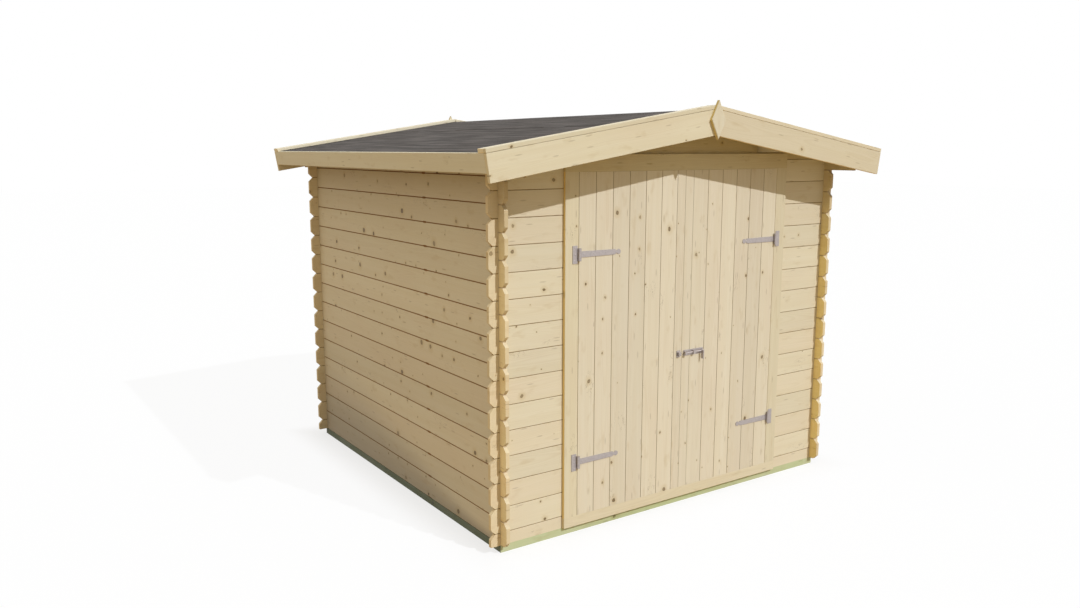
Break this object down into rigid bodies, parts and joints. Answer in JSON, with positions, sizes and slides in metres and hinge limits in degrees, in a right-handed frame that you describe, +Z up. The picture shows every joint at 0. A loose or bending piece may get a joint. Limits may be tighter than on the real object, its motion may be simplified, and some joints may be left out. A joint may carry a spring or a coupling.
{
  "type": "log-built garden shed",
  "caption": "Small garden shed of interlocking pine logs with a felted gable roof, bargeboards with diamond finials and a pair of boarded doors on T hinges with a sliding bolt.",
  "frame": {"origin": "on the ground under the middle of the shed", "axes": "+X to the right along the front, +Y to the back, +Z up; the doors face -Y"},
  "size_m": [2.5364, 2.62, 2.0575],
  "materials": {
    "log_wood": "planed pale spruce with small knots",
    "board_wood": "planed pale spruce boards",
    "inner_wood": "sawn pale spruce",
    "treated_wood": "green pressure-treated softwood",
    "felt": "dark grey mineral roofing felt",
    "zinc": "dull zinc-plated steel"
  },
  "bodies": {
    "root": {"left_wall_logs_a": "log_wood", "left_wall_logs_b": "log_wood", "right_wall_logs_a": "log_wood", "right_wall_logs_b": "log_wood", "back_wall_logs_a": "log_wood", "back_wall_logs_b": "log_wood", "front_sill_log": "log_wood", "front_wall_logs_a": "log_wood", "front_wall_logs_b": "log_wood", "front_lintel_log": "log_wood", "front_gable": "log_wood", "back_gable": "log_wood", "foundation_side_beams": "treated_wood", "foundation_end_beams": "treated_wood", "floor_joists": "treated_wood", "floor": "inner_wood", "ridge_purlin": "inner_wood", "side_purlins": "inner_wood", "left_roof_deck": "inner_wood", "right_roof_deck": "inner_wood", "roof_felt": "felt", "left_eave_board": "board_wood", "right_eave_board": "board_wood", "front_left_bargeboard": "board_wood", "front_right_bargeboard": "board_wood", "back_left_bargeboard": "board_wood", "back_right_bargeboard": "board_wood", "edge_battens": "board_wood", "front_finial": "board_wood", "back_finial": "board_wood", "door_jambs": "board_wood", "door_sill": "board_wood", "door_header": "board_wood", "hinge_plates": "zinc"},
    "left_door": {"left_door": "board_wood", "left_door_ledges": "board_wood", "left_door_brace": "board_wood", "left_hinge_straps": "zinc", "bolt_keep": "zinc"},
    "right_door": {"right_door": "board_wood", "right_door_ledges": "board_wood", "right_door_brace": "board_wood", "right_hinge_straps": "zinc", "bolt_guides": "zinc"},
    "bolt": {"bolt_rod": "zinc"}
  },
  "joints": [
    {"name": "left_door_hinge", "type": "hinge", "parent": "root", "child": "left_door", "pos_m": [-0.6575, -1.1055, 0.9], "axis": [0, 0, -1], "range_deg": [0, 150]},
    {"name": "right_door_hinge", "type": "hinge", "parent": "root", "child": "right_door", "pos_m": [0.6575, -1.1055, 0.9], "axis": [0, 0, 1], "range_deg": [0, 150]},
    {"name": "bolt_slide", "type": "slide", "parent": "right_door", "child": "bolt", "axis": [-1, 0, 0], "range_m": [0, 0.04]}
  ]
}
